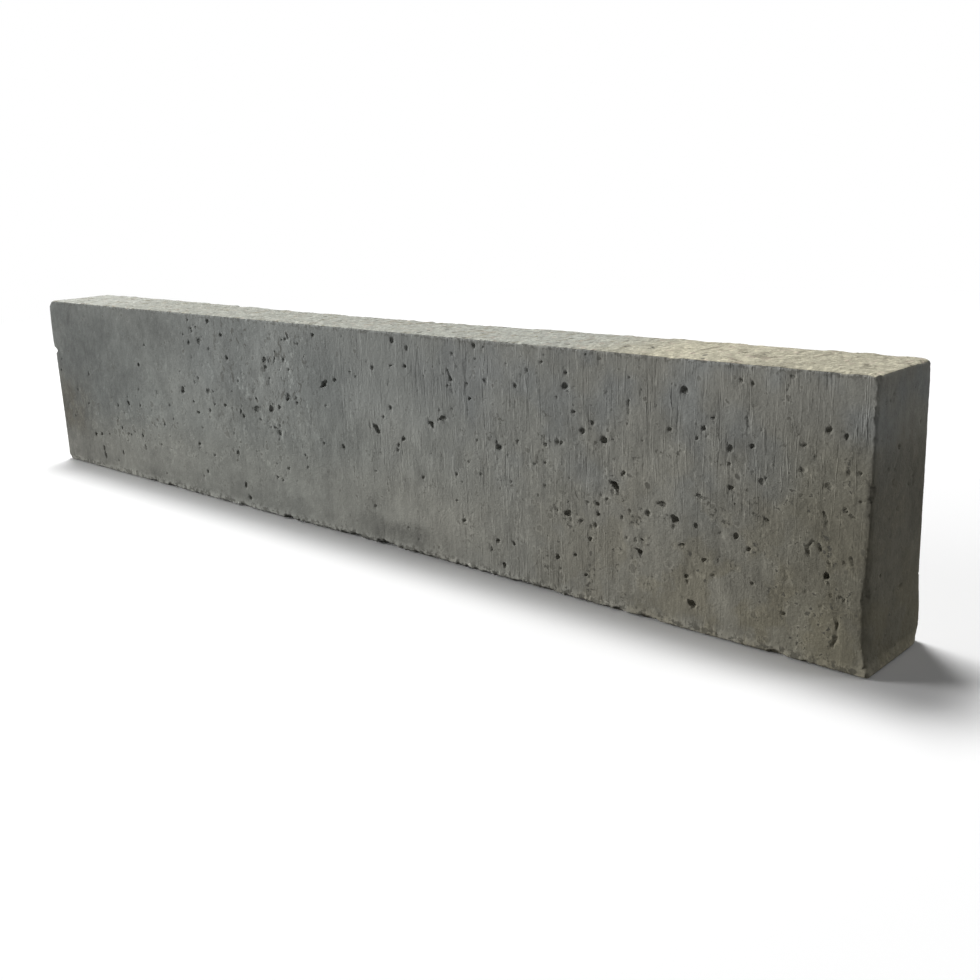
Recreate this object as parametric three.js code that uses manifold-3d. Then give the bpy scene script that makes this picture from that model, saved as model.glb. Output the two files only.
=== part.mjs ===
// Concrete edging kerb, one metre long, cast in one piece and stood on its narrow base.
// It is a drafted block with softened arrises. The fresh mix slumped into a slight foot at the
// base, a lip of overfill stands proud of the upper left end, the front right arris is worn,
// and the faces carry blowholes and chipped edges.
// Millimetres, +X along the kerb, +Y to the back, +Z up, origin under the middle of the base.
import * as THREE from 'three';
import { mergeVertices } from 'three/addons/utils/BufferGeometryUtils.js';
import Module from 'manifold-3d';

const wasm = await Module();
wasm.setup();

// Overall size: the length runs from the lip to the right foot, the base is measured over the foot.
const LENGTH = 1000;
const HEIGHT = 186;
const BASE_THICKNESS = 80;
const TOP_THICKNESS = 75;

// Foot: how far the slumped mix spreads past each face, and how high it reaches.
const FOOT_HEIGHT = 11;
const SIDE_FLARE = 0.9;
const LEFT_FLARE = 0.5;
const RIGHT_FLARE = 3.5;
const FOOT_CORNER = 11;

// Arrises: radii along the top, along the base and up the four corners.
const TOP_ARRIS = 2.5;
const BASE_ARRIS = 2;
const END_ARRIS = 2.5;
const BACK_TOP_CORNER = 5;

// Lip of overfill on the upper left end, with its underside this far below the top,
// and the cold joint that tucks in beneath it.
const LIP_PROUD = 3;
const LIP_DEPTH = 56;
const LIP_ROUND = 9;
const TUCK_DEPTH = 5;
const TUCK_HALF = 3.5;

// Wear of the front right arris: how far it eats along the face and across the end,
// and the heights above the base where it fades out.
const WEAR_ALONG = 2.5;
const WEAR_ACROSS = 9;
const WEAR_START = 11;
const WEAR_FULL = 20;
const WEAR_END = 108;

// Fineness of the rounded forms.
const ARC_STEPS = 4;
const ARRIS_STEPS = 3;
const SCOOP_DETAIL = 1;

// Blowholes on the front face, as
// [distance from the right foot, height above the base, width, height, depth, tilt in degrees].
const FRONT_BLOWHOLES = [
  [140, 76, 8, 5.5, 3.5, 20],
  [190, 92, 10, 4.5, 3.5, -50],
  [134, 164, 7.5, 4.5, 3, 20],
  [357, 120, 9.5, 4, 3, -10],
  [437, 102, 13, 4.5, 2.5, -50],
  [504, 135, 10, 5.5, 2.5, 10],
  [122, 96, 6, 4.5, 2.5, 30],
  [183, 102, 4, 5.5, 2.5, 0],
  [200, 123, 6.5, 4.5, 3, -20],
  [191, 126, 5, 4.5, 2, 0],
  [218, 127, 6.5, 5, 2.5, 0],
  [234, 157, 7.5, 6, 3, 0],
  [112, 148, 3.5, 4, 2.5, 0],
  [125, 134, 3, 5, 2, -20],
  [99, 131, 5.5, 5.5, 2.5, 0],
  [84, 134, 4, 4, 2.5, 0],
  [77, 112, 3, 6, 2, 0],
  [98, 104, 4.5, 3, 2.5, 0],
  [150, 85, 5.5, 4, 3, -20],
  [170, 71, 5.5, 4.5, 1.5, 0],
  [205, 76, 3.5, 3.5, 2.5, 0],
  [205, 68, 4.5, 3.5, 2.5, 0],
  [232, 64, 6.5, 5.5, 3, 40],
  [124, 75, 4, 4.5, 2.5, 0],
  [106, 74, 6, 4.5, 1.5, 0],
  [94, 74, 4, 5.5, 2.5, -15],
  [135, 59, 5.5, 4.5, 2.5, 20],
  [167, 56, 4.5, 3, 2, 0],
  [169, 48, 6.5, 3.5, 2.5, -50],
  [117, 53, 5, 3.5, 2.5, 0],
  [105, 56, 5, 7.5, 1.5, 0],
  [124, 43, 3.5, 5.5, 1.5, 0],
  [130, 38, 5, 3.5, 2, 0],
  [126, 20, 6, 4.5, 3, -35],
  [53, 149, 8, 6, 1.2, 0],
  [49, 124, 4.5, 4.5, 1.5, 0],
  [71, 88, 3.5, 3.5, 2, 0],
  [30, 60, 4, 4.5, 4, 10],
  [298, 105, 5, 6.5, 2.5, -30],
  [310, 154, 8, 5, 1.5, 0],
  [238, 116, 5.5, 4.5, 2, 0],
  [302, 30, 6, 4, 2.5, 0],
  [310, 22, 6.5, 5.5, 2, 20],
  [296, 12, 5, 5, 2, 0],
  [243, 29, 5, 6, 2.5, -20],
  [216, 20, 4.5, 3.5, 2.5, 0],
  [405, 98, 5, 4, 2.5, 0],
  [482, 81, 5.5, 6, 2, -20],
  [413, 178, 5.5, 4.5, 2, 0],
  [555, 118, 11, 5, 2, 20],
  [583, 103, 6, 8.5, 2.5, 0],
  [606, 101, 10, 7, 2.5, -20],
  [693, 159, 11, 6, 2, 0],
  [732, 107, 8, 7, 2.5, 20],
  [685, 110, 7, 6, 2, 0],
  [706, 87, 6, 5.5, 2, 0],
  [644, 54, 5, 8, 2, -15],
  [842, 82, 7, 6.5, 2, 0],
  [210, 134, 3.5, 4.5, 2, 0],
  [202, 84, 7, 4.5, 1.2, 0],
  [253, 100, 3.5, 4.5, 2, 0],
  [240, 148, 5.5, 3, 1.2, 0],
  [281, 153, 5, 4, 2, 0],
  [286, 32, 3.5, 4.5, 2, 0],
  [32, 116, 6, 5, 1.5, 20],
  [19, 126, 3.5, 5, 1.5, 0],
  [20, 71, 5, 4, 2, 0],
  [58, 53, 6, 8, 1.2, 0],
  [419, 122, 4.5, 4.5, 2, 0],
  [434, 82, 5, 4.5, 2, 0],
  [371, 114, 9.5, 3.5, 2, -20],
  [706, 168, 5, 6, 2, 0],
  [629, 91, 6, 4, 2, 0],
  [573, 82, 6, 4.5, 2, 0],
  [555, 169, 7, 4, 2, 0],
  [538, 166, 4.5, 5, 2, 0],
  [588, 148, 6, 6.5, 2, 0],
  [583, 129, 4, 10, 1.5, 0],
  [952, 87, 4, 5, 2, 0],
];

// Blowholes on the right end, as
// [distance from the middle of the thickness, height above the base, width, height, depth, tilt].
const END_BLOWHOLES = [
  [-5, 138, 4, 6.5, 2, -5],
  [-21, 61, 4, 3, 2, 0],
  [9, 46, 4, 3, 2, 0],
  [-11, 117, 3.5, 4, 1.5, 15],
  [11, 111, 3, 3, 1.5, 0],
];

// Chips out of the front face's base arris, as
// [distance from the right foot, length of the chip, how deep it bites].
const BASE_CHIPS = [
  [62, 16, 1.4],
  [186, 14, 1.2],
  [250, 20, 1.4],
  [395, 16, 1.6],
  [430, 14, 1.4],
  [458, 18, 1.6],
  [508, 16, 1.4],
  [640, 20, 1.4],
];

// Places worked out from the sizes above.
const LEFT_END = -LENGTH / 2 + LIP_PROUD;
const RIGHT_END = LENGTH / 2 - RIGHT_FLARE;
const RIGHT_FOOT = LENGTH / 2;
const LIP_UNDERSIDE = HEIGHT - LIP_DEPTH;
const TUCK_HEIGHT = LIP_UNDERSIDE - TUCK_HALF / 2;

const smooth = (t) => t * t * (3 - 2 * t);
const clamp01 = (t) => Math.min(Math.max(t, 0), 1);

/** Share of the foot's spread at a height: all of it at the base, none above the foot. */
function footShare(z) {
  return 1 - smooth(clamp01((z - BASE_ARRIS) / (FOOT_HEIGHT - BASE_ARRIS)));
}

/** Half the thickness at a height: the draft of the mould, plus the foot. */
function halfThickness(z) {
  const base = BASE_THICKNESS / 2 - SIDE_FLARE;
  const rise = clamp01((z - BASE_ARRIS) / (HEIGHT - BASE_ARRIS));
  return THREE.MathUtils.lerp(base, TOP_THICKNESS / 2, rise) + SIDE_FLARE * footShare(z);
}

/** How far the lip stands out at a height: a bulge that fades to the top and tucks in below. */
function lipAt(z) {
  const rise = clamp01((z - LIP_UNDERSIDE) / LIP_ROUND);
  const fade = clamp01((HEIGHT - z) / (LIP_DEPTH - LIP_ROUND));
  return LIP_PROUD * Math.sqrt(1 - (1 - rise) ** 2) * Math.sin((fade * Math.PI) / 2);
}

/** How far the cold joint under the lip runs in at a height. */
function tuckAt(z) {
  return TUCK_DEPTH * clamp01(1 - Math.abs(z - TUCK_HEIGHT) / TUCK_HALF);
}

/** Share of the corner wear at a height. */
function wearShare(z) {
  const grown = smooth(clamp01((z - WEAR_START) / (WEAR_FULL - WEAR_START)));
  const left = smooth(clamp01((WEAR_END - z) / (WEAR_END - WEAR_FULL)));
  return grown * left;
}

/** How far the top and base arrises draw the outline in at a height. */
function arrisInset(z) {
  const fromBase = BASE_ARRIS - z;
  const fromTop = z - (HEIGHT - TOP_ARRIS);
  if (fromBase > 0) return BASE_ARRIS - Math.sqrt(BASE_ARRIS ** 2 - fromBase ** 2);
  if (fromTop > 0) return TOP_ARRIS - Math.sqrt(TOP_ARRIS ** 2 - fromTop ** 2);
  return 0;
}

/** A quarter ellipse of an outline's corner, turning left from a start angle. */
function cornerArc(x, y, radiusX, radiusY, start) {
  return Array.from({ length: ARC_STEPS + 1 }, (_, i) => {
    const angle = start + (i / ARC_STEPS) * (Math.PI / 2);
    return new THREE.Vector2(x + radiusX * Math.cos(angle), y + radiusY * Math.sin(angle));
  });
}

/** The kerb's outline at a height, counter-clockwise from above. */
function outlineAt(z) {
  const inset = arrisInset(z);
  const foot = footShare(z);
  const wear = wearShare(z);
  const left = LEFT_END - LEFT_FLARE * foot - lipAt(z) + tuckAt(z) + inset;
  const right = RIGHT_END + RIGHT_FLARE * foot - inset;
  const half = halfThickness(z) - inset;
  const worn = [END_ARRIS + WEAR_ALONG * wear, END_ARRIS + WEAR_ACROSS * wear];
  const rise = z / HEIGHT;
  const back = THREE.MathUtils.lerp(END_ARRIS, BACK_TOP_CORNER, rise) + FOOT_CORNER * foot;
  return [
    ...cornerArc(right - worn[0], -half + worn[1], worn[0], worn[1], -Math.PI / 2),
    ...cornerArc(right - back, half - back, back, back, 0),
    ...cornerArc(left + END_ARRIS, half - END_ARRIS, END_ARRIS, END_ARRIS, Math.PI / 2),
    ...cornerArc(left + END_ARRIS, -half + END_ARRIS, END_ARRIS, END_ARRIS, Math.PI),
  ];
}

/** Heights between two others, evenly spaced, both ends included. */
function spaced(from, to, steps) {
  return Array.from({ length: steps + 1 }, (_, i) => THREE.MathUtils.lerp(from, to, i / steps));
}

/** Heights down a quarter-round arris of a radius, measured from its flat. */
function arrisHeights(radius) {
  return spaced(0, Math.PI / 2, ARRIS_STEPS).map((angle) => radius * (1 - Math.cos(angle)));
}

/** Every height at which the body's outline is drawn, from the base up. */
function levels() {
  const heights = [
    ...arrisHeights(BASE_ARRIS),
    ...spaced(BASE_ARRIS, FOOT_HEIGHT, 4),
    ...spaced(WEAR_START, WEAR_FULL, 4),
    ...spaced(WEAR_FULL, WEAR_END, 5),
    ...spaced(TUCK_HEIGHT - TUCK_HALF, TUCK_HEIGHT + TUCK_HALF, 4),
    ...spaced(LIP_UNDERSIDE, LIP_UNDERSIDE + LIP_ROUND, 5),
    ...spaced(LIP_UNDERSIDE + LIP_ROUND, HEIGHT - TOP_ARRIS, 5),
    ...arrisHeights(TOP_ARRIS).map((drop) => HEIGHT - drop),
  ];
  const rounded = heights.map((z) => Math.round(z * 1000) / 1000);
  return [...new Set(rounded)].sort((a, b) => a - b);
}

/** Lofts the outlines into one closed geometry with a flat base and a flat top. */
function loftBody() {
  const rings = levels().map((z) => outlineAt(z).map((p) => [p.x, p.y, z]));
  const count = rings[0].length;
  const last = (rings.length - 1) * count;
  const index = [];
  for (let ring = 0; ring < rings.length - 1; ring += 1) {
    for (let i = 0; i < count; i += 1) {
      const a = ring * count + i;
      const b = ring * count + ((i + 1) % count);
      index.push(a, b, b + count, a, b + count, a + count);
    }
  }
  for (let i = 1; i < count - 1; i += 1) {
    index.push(0, i + 1, i);
    index.push(last, last + i, last + i + 1);
  }
  const geometry = new THREE.BufferGeometry();
  const positions = new THREE.Float32BufferAttribute(rings.flat(2), 3);
  geometry.setAttribute('position', positions);
  geometry.setIndex(index);
  return geometry;
}

/** A three.js geometry as a solid that can be cut. */
function toSolid(geometry) {
  const bare = geometry.clone();
  bare.deleteAttribute('normal');
  bare.deleteAttribute('uv');
  const merged = mergeVertices(bare, 1e-4);
  const mesh = new wasm.Mesh({
    numProp: 3,
    vertProperties: new Float32Array(merged.attributes.position.array),
    triVerts: new Uint32Array(merged.index.array),
  });
  mesh.merge();
  return new wasm.Manifold(mesh);
}

/** A cut solid back as a three.js geometry. */
function toGeometry(solid) {
  const mesh = solid.getMesh();
  const geometry = new THREE.BufferGeometry();
  geometry.setAttribute('position', new THREE.BufferAttribute(mesh.vertProperties, 3));
  geometry.setIndex(new THREE.BufferAttribute(mesh.triVerts, 1));
  geometry.computeVertexNormals();
  return geometry;
}

/** A scoop of concrete, as a faceted ellipsoid turned about one axis and centred at a point. */
function scoop(centre, radii, axis, tilt) {
  const geometry = new THREE.IcosahedronGeometry(1, SCOOP_DETAIL);
  geometry.scale(...radii);
  const turn = new THREE.Matrix4().makeRotationAxis(axis, THREE.MathUtils.degToRad(tilt));
  geometry.applyMatrix4(turn);
  geometry.translate(...centre);
  return toSolid(geometry);
}

/** Blowholes sunk into the front face. */
function frontBlowholes() {
  const across = new THREE.Vector3(0, 1, 0);
  return FRONT_BLOWHOLES.map(([fromFoot, z, width, height, depth, tilt]) => {
    const centre = [RIGHT_FOOT - fromFoot, -halfThickness(z), z];
    return scoop(centre, [width / 2, depth, height / 2], across, tilt);
  });
}

/** Blowholes sunk into the right end. */
function endBlowholes() {
  const along = new THREE.Vector3(1, 0, 0);
  return END_BLOWHOLES.map(([y, z, width, height, depth, tilt]) => {
    const centre = [RIGHT_END, y, z];
    return scoop(centre, [depth, width / 2, height / 2], along, tilt);
  });
}

/** Chips bitten out of the front face's base arris. */
function baseChips() {
  const across = new THREE.Vector3(0, 1, 0);
  return BASE_CHIPS.map(([fromFoot, length, bite]) => {
    const centre = [RIGHT_FOOT - fromFoot, -halfThickness(0), 0];
    return scoop(centre, [length / 2, bite + BASE_ARRIS, bite + BASE_ARRIS], across, 0);
  });
}

/** The kerb stone: the lofted body less its blowholes and chips. */
function kerbStone() {
  const cuts = [
    ...frontBlowholes(),
    ...endBlowholes(),
    ...baseChips(),
  ];
  const solid = cuts.reduce((body, cut) => body.subtract(cut), toSolid(loftBody()));
  const concrete = new THREE.MeshStandardMaterial({
    color: 0x7f8078,
    roughness: 0.92,
    metalness: 0,
  });
  const mesh = new THREE.Mesh(toGeometry(solid), concrete);
  mesh.name = 'kerb_stone';
  return mesh;
}

const kerb = new THREE.Group();
kerb.add(kerbStone());

export default kerb;
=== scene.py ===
"""Dresses the concrete kerb stone: a weathered skin over the CAD solid, concrete, and a studio.

The skin is the CAD solid, remeshed finely and worn: ragged arrises, a float-finished top,
blowholes, cracks and the soft dents of a cast face. Metres, +X to the worn right end, +Z up.
"""

import math

import bpy
import numpy as np
from mathutils import Matrix, Vector


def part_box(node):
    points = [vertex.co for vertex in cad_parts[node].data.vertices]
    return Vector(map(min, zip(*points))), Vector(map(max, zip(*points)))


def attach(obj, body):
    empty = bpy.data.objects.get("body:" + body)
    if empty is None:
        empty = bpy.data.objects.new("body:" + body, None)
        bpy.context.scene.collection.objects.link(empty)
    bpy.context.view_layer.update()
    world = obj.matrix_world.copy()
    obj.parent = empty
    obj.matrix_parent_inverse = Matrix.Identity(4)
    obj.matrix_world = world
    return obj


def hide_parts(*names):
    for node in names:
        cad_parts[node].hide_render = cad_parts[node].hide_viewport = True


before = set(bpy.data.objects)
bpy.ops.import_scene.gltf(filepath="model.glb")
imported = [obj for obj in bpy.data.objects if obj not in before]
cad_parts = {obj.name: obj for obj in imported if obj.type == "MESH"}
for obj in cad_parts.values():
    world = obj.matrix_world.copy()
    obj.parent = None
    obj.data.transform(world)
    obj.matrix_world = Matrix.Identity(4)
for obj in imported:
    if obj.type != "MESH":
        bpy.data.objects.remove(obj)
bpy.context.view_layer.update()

MM = 0.001
NODE = "kerb_stone"
LOW, HIGH = (np.array(corner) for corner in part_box(NODE))
LENGTH, THICKNESS, HEIGHT = HIGH - LOW

# The mesh: its first fineness, and how many triangles are left in the end.
VOXEL = 1.0 * MM
MOST_TRIANGLES = 196_000
SEED = 11

# Small departures of the whole shape from the solid.
HOLE_RAGGEDNESS = 1.5 * MM
LEFT_LEAN = 2.5 * MM
RIGHT_BULGE = 1.4 * MM
TOP_SAG = 2.2 * MM
TOP_SAG_AT = -0.04
TOP_SAG_SPREAD = 0.25


# ---------------------------------------------------------------- noise

# Large odd numbers that scatter the bits of x, y, z and the seed, and the rounds of
# (shift, factor) that mix them.
HASH_X, HASH_Y, HASH_Z, HASH_SEED = 374761393, 668265263, 2246822519, 3266489917
HASH_ROUNDS = ((13, 1274126177), (15, 2654435761), (16, 1))


def lattice(ix, iy, iz, seed):
    """A repeatable random number from -1 to 1 for each point of an integer lattice."""
    mixed = ix * np.uint32(HASH_X) + iy * np.uint32(HASH_Y)
    mixed = mixed + iz * np.uint32(HASH_Z) + np.uint32(seed * HASH_SEED % 2**32)
    for shift, factor in HASH_ROUNDS:
        mixed = (mixed ^ (mixed >> np.uint32(shift))) * np.uint32(factor)
    return mixed.astype(np.float32) * np.float32(2 / 2**32) - np.float32(1)


def noise(points, size, seed=0):
    """Smooth random values from -1 to 1 whose bumps are about size across: one length, or three."""
    cells = points / np.asarray(size, float)
    base = np.floor(cells)
    part = (cells - base).astype(np.float32)
    part = part * part * part * (part * (part * 6 - 15) + 10)
    base = base.astype(np.int64).astype(np.uint32)
    total = np.zeros(len(points), np.float32)
    for step_x in (0, 1):
        weight_x = part[:, 0] if step_x else 1 - part[:, 0]
        for step_y in (0, 1):
            weight_y = weight_x * (part[:, 1] if step_y else 1 - part[:, 1])
            for step_z in (0, 1):
                weight = weight_y * (part[:, 2] if step_z else 1 - part[:, 2])
                total += weight * lattice(
                    base[:, 0] + np.uint32(step_x),
                    base[:, 1] + np.uint32(step_y),
                    base[:, 2] + np.uint32(step_z),
                    seed,
                )
    return total


def layered(points, size, seed=0, layers=3):
    """Noise with finer and weaker layers added, each half the size and half as strong."""
    shares = [0.5**layer for layer in range(layers)]
    size = np.asarray(size, float)
    total = sum(
        share * noise(points, size * share, seed + 17 * layer)
        for layer, share in enumerate(shares)
    )
    return total / sum(shares)


def smooth(values, low, high):
    """0 below low, 1 above high, and a smooth rise between them."""
    t = np.clip((values - low) / (high - low), 0, 1)
    return t * t * (3 - 2 * t)


# ---------------------------------------------------------------- the solid's faces

def read_vectors(items, name):
    """One vector for each of a mesh's items, as an array."""
    values = np.empty(len(items) * 3, np.float32)
    items.foreach_get(name, values)
    return values.reshape(-1, 3).astype(float)


CAD_POINTS = read_vectors(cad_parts[NODE].data.vertices, "co")
# A layer of the loft spans at least these shares of the kerb's length and thickness.
LAYER_LENGTH = 0.95
LAYER_THICKNESS = 0.8


def loft_layers():
    """The heights at which the solid has points all the way round, each with those points."""
    heights = np.round(CAD_POINTS[:, 2], 5)
    found = []
    for height in np.unique(heights):
        ring = CAD_POINTS[heights == height]
        long_enough = np.ptp(ring[:, 0]) > LAYER_LENGTH * LENGTH
        if long_enough and np.ptp(ring[:, 1]) > LAYER_THICKNESS * THICKNESS:
            found.append((height, ring))
    return found


LAYERS = loft_layers()


def reach(axis, side):
    """How far the solid reaches along an axis, at each of its loft's heights."""
    heights = [height for height, ring in LAYERS]
    return heights, [(side * ring[:, axis]).max() for height, ring in LAYERS]


REACH = dict(left=reach(0, -1), right=reach(0, 1), front=reach(1, -1), back=reach(1, 1))
INWARD = {
    "left": np.array((1.0, 0.0, 0.0)),
    "right": np.array((-1.0, 0.0, 0.0)),
    "front": np.array((0.0, 1.0, 0.0)),
    "back": np.array((0.0, -1.0, 0.0)),
    "top": np.array((0.0, 0.0, -1.0)),
    "base": np.array((0.0, 0.0, 1.0)),
}


def depths(points):
    """How deep each point lies under each of the kerb's six faces."""
    found = {"top": HEIGHT - points[:, 2], "base": points[:, 2].copy()}
    for face, (heights, reaches) in REACH.items():
        found[face] = np.interp(points[:, 2], heights, reaches) + points @ INWARD[face]
    return found


# ---------------------------------------------------------------- wear and relief

# (two faces, steady cut, cut of the bigger chips, cut of the fine crumbling) in millimetres.
ARRISES = [
    ("front", "top", 1.4, 1.6, 1.5),
    ("back", "top", 1.9, 3.0, 1.0),
    ("front", "base", 1.8, 3.0, 2.0),
    ("back", "base", 2.0, 3.4, 1.2),
    ("left", "front", 1.3, 1.4, 0.7),
    ("left", "back", 1.8, 2.4, 0.9),
    ("right", "front", 2.2, 3.0, 1.8),
    ("right", "back", 0.4, 1.0, 0.8),
    ("left", "top", 5.2, 2.0, 0.8),
    ("right", "top", 1.6, 1.5, 0.7),
    ("left", "base", 6.0, 2.6, 1.0),
    ("right", "base", 0.8, 0.8, 0.5),
]
# (three faces, steady cut) of the corners that are worn round, in millimetres.
CORNERS = [
    ("left", "front", "top", 10.0),
    ("left", "front", "base", 13.0),
    ("right", "back", "top", 9.0),
]
CHIP_SPACING = 17 * MM
CHIP_THRESHOLD = 0.12
CRUMB_SIZE = 3.2 * MM
# The front's base arris is rubbed away further right of its middle, by so many millimetres,
# and is hardly worn near the right end: the less so from one place to the other.
BASE_RUBBED = 2.6
BASE_RUBBED_AT = 0.09
BASE_RUBBED_SPREAD = 0.20
BASE_SPARED = 1.2
BASE_SPARED_FROM = 0.30
BASE_SPARED_FULL = 0.40


def wear_arrises(points):
    """Planes and crumbles the twelve arrises, each by an amount that wanders along it."""
    chips = layered(points, CHIP_SPACING, SEED + 1, 2)
    crumbs = layered(points, CRUMB_SIZE, SEED + 2, 2)
    rubbed = BASE_RUBBED * np.exp(-((points[:, 0] - BASE_RUBBED_AT) / BASE_RUBBED_SPREAD) ** 2)
    spared = BASE_SPARED * smooth(points[:, 0], BASE_SPARED_FROM, BASE_SPARED_FULL)
    for first, second, steady, chip, crumb in ARRISES:
        depth = depths(points)
        cut = steady + chip * 2 * np.maximum(chips - CHIP_THRESHOLD, 0) + crumb * crumbs
        if (first, second) == ("front", "base"):
            cut = cut + rubbed - spared
        missing = np.maximum(cut * MM - depth[first] - depth[second], 0)
        points += (missing / 2)[:, None] * (INWARD[first] + INWARD[second])
    for *faces, cut in CORNERS:
        depth = depths(points)
        missing = np.maximum((cut + crumbs) * MM - sum(depth[face] for face in faces), 0)
        points += (missing / 3)[:, None] * sum(INWARD[face] for face in faces)


# The most visible blowholes of the front, as (distance from the right foot, height above the
# base, width, height of the hole, lean anticlockwise), in millimetres and degrees.
FRONT_HOLES = [
    (922, 38, 4, 7, 0), (923, 107, 3, 6, 0), (891, 42, 4, 3, 0), (865, 77, 3, 5, 0),
    (868, 62, 3, 4, 0), (865, 24, 9, 3, -70), (849, 47, 4, 3, 0), (843, 47, 3, 3, 0),
    (835, 51, 3.5, 3, 0), (819, 49, 7, 3, -60), (816, 37, 3.5, 5, 0), (812, 126, 4, 5, 0),
    (818, 99, 3, 3.5, 0), (792, 63, 3, 3, 0), (772, 67, 3.5, 3.5, 0), (759, 88, 3.5, 3.5, 0),
    (712, 156, 4, 6, 0), (697, 172, 4, 3.5, 0), (708, 117, 5, 4, 0), (677, 111, 3.5, 4, 0),
    (713, 97, 3.5, 3.5, 0), (685, 91, 4, 5, 30), (676, 98, 3, 3, 0), (658, 99, 4, 4.5, 0),
    (684, 46, 5.5, 3, 0), (631, 101, 3.5, 5, 0), (633, 125, 3.5, 4, 0), (678, 152, 4, 4, 0),
    (635, 23, 3.5, 8, 0), (606, 111, 5, 4, 0), (558, 115, 5, 4, 30), (544, 113, 5, 4.5, 0),
    (560, 151, 4, 6, 0), (515, 176, 4, 4, 0), (503, 115, 4, 3.5, 0), (489, 139, 5, 5, 0),
    (504, 134, 13, 6, 35), (442, 65, 5, 3, 0), (428, 114, 4, 4, 0), (535, 55, 3.5, 3.5, 0),
    (574, 37, 3.5, 3, 0), (569, 42, 3, 3, 0), (582, 39, 3, 3, 0), (468, 148, 3, 3, 0),
    (461, 144, 3, 4, 0), (456, 149, 3, 3, 0), (439, 154, 4, 6, 0), (437, 102, 14, 4.5, -50),
    (371, 114, 10, 5.5, -65), (396, 173, 3, 5, 0), (399, 158, 4, 4, 0), (416, 157, 3, 3, 0),
    (411, 92, 3, 3.5, 0), (373, 90, 2.5, 2.5, 0), (348, 152, 6, 3.5, -70), (347, 143, 4.5, 3, 0),
    (330, 150, 3.5, 4, 0), (328, 139, 4.5, 4.5, 0), (331, 89, 3, 3, 0), (345, 77, 3, 4, 0),
    (318, 81, 3, 3, 0), (338, 40, 5, 3, 0), (301, 79, 3, 3, 0), (287, 80, 3, 3, 0),
    (269, 166, 3, 5, 0), (255, 173, 3, 3, 0), (233, 167, 3, 4, 0), (226, 140, 4, 4, 0),
    (253, 113, 3, 5, 0), (263, 97, 3, 3, 0), (145, 137, 4.5, 4, 0), (197, 81, 3, 3, 0),
    (220, 61, 5, 3, -20), (214, 76, 3, 4, 0), (177, 76, 4, 4, 0), (184, 70, 3, 3, 0),
    (162, 77, 5, 4.5, 30), (212, 49, 4, 4, 0), (241, 41, 3, 3, 0), (226, 34, 3, 3, 0),
    (190, 92, 15, 6.5, -50), (169, 48, 9, 4.5, -50), (126, 20, 8, 5, -40), (93, 174, 3, 4, 0),
    (83, 159, 2.5, 4, 0), (88, 151, 3, 6, 0), (119, 141, 3.5, 4, 0), (49, 139, 5, 3, 0),
    (118, 122, 3, 3, 0), (100, 120, 3, 4, 0), (49, 107, 3, 5, 0), (110, 43, 3, 3, 0),
    (97, 45, 4, 2.5, -60), (81, 44, 4, 3, -30), (58, 29, 3, 3, 0), (44, 47, 2.5, 2.5, 0),
]
# Holes longer than this many millimetres take the place of a scoop of the solid.
REDRAWN = 6.5
# How deep they are against their narrower side: least and most.
FRONT_HOLE_DEPTHS = (0.30, 0.70)
# Half a hole on the mesh for each millimetre of its size. The ragged edge adds the rest.
FRONT_HOLE_HALF = 0.44 * MM
# Smaller blowholes for each face: how many are tried, how wide in millimetres (least, most),
# and how deep against that.
BLOWHOLES = {
    "front": (1100, 1.3, 4.0, 0.5),
    "back": (700, 2.2, 7.0, 0.45),
    "left": (45, 2.0, 5.0, 0.5),
    "right": (40, 2.0, 3.2, 0.45),
    "base": (90, 2.2, 5.0, 0.4),
    "top": (260, 2.2, 5.0, 0.4),
}
# Satellites cluster round holes deeper than this: how many points of a hole there are for
# each, how far they spread, and their half widths in millimetres (least, most).
SATELLITE_DEPTH = 0.8 * MM
POINTS_PER_SATELLITE = 14
SATELLITE_SPREAD = 3.6 * MM
SATELLITE_HALVES = (0.5, 1.2)
# The in-plane axes of each face.
IN_PLANE = dict(front=(0, 2), back=(0, 2), left=(1, 2), right=(1, 2), top=(0, 1), base=(0, 1))


def crowding(face, across, up):
    """How likely a blowhole is at a place on a face: 0 is never, and 1 is at its thickest."""
    spots = np.column_stack([across, up, np.zeros(len(across))])
    patchy = smooth(layered(spots, 70 * MM, SEED + 5, 2), -0.35, 0.45)
    if face not in ("front", "back"):
        return 0.35 + 0.65 * patchy
    side = 1 if face == "front" else -1
    x = across * side
    right_half = smooth(x, -0.12, 0.18) * smooth(up, 0.0, 0.09)
    left_patch = smooth(x, -0.3, -0.17) * (1 - smooth(x, -0.02, 0.07)) * smooth(up, 0.05, 0.12)
    low_band = smooth(x, -0.42, -0.34) * (1 - smooth(x, -0.1, 0.0))
    low_band = low_band * (1 - smooth(np.abs(up - 0.06), 0.01, 0.04))
    thick = np.maximum(np.maximum(right_half, left_patch), 0.8 * low_band)
    by_right_end = 1 - 0.80 * smooth(x, 0.32, 0.38) * (1 - smooth(up, 0.12, 0.16))
    return (0.12 + 0.88 * thick * (0.3 + 0.7 * patchy)) * by_right_end


def ragged_edge(angle, sides, phases):
    """The relative radius of a rough polygon with so many sides, at each angle."""
    turned = np.mod(angle + phases[0], 2 * math.pi / sides) - math.pi / sides
    polygon = math.cos(math.pi / sides) / np.cos(turned)
    wobble = 0.10 * np.sin(2 * angle + phases[1]) + 0.07 * np.sin(5 * angle + phases[2])
    return 1.12 * polygon + wobble


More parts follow.
